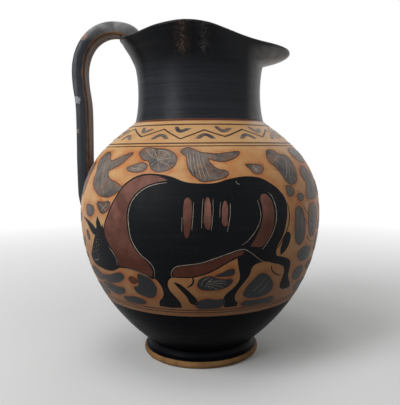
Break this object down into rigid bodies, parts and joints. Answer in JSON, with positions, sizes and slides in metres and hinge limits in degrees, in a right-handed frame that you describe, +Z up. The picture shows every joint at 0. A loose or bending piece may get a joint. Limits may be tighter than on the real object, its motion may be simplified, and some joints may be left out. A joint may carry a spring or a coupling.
{
  "type": "oinochoe jug",
  "caption": "Fired clay wine jug with a globular belly, ring foot, collar neck, trefoil pouring mouth and high strap handle, with an animal frieze in dark slip.",
  "frame": {"origin": "centre of the foot ring's underside, on the surface that the jug stands on", "axes": "+Z up along the vessel's turning axis, +X towards the spout, -X towards the handle, painted side seen from -Y"},
  "size_m": [0.1896, 0.186, 0.2578],
  "materials": {
    "foot_clay": "bare fired clay edge with black slip above",
    "belly_clay": "satin orange fired clay with black and red slip painting",
    "black_slip": "semi-gloss black slip over fired clay",
    "handle_slip": "semi-gloss black slip, bare reddish clay on the inner face",
    "luting_clay": "matt bare fired clay"
  },
  "bodies": {
    "root": {"foot": "foot_clay", "belly_bowl": "black_slip", "belly_wall": "belly_clay", "shoulder": "belly_clay", "neck": "black_slip", "mouth": "black_slip", "handle": "handle_slip", "foot_luting": "luting_clay", "neck_luting": "luting_clay", "handle_top_luting": "handle_slip", "handle_foot_luting": "handle_slip"}
  },
  "joints": []
}
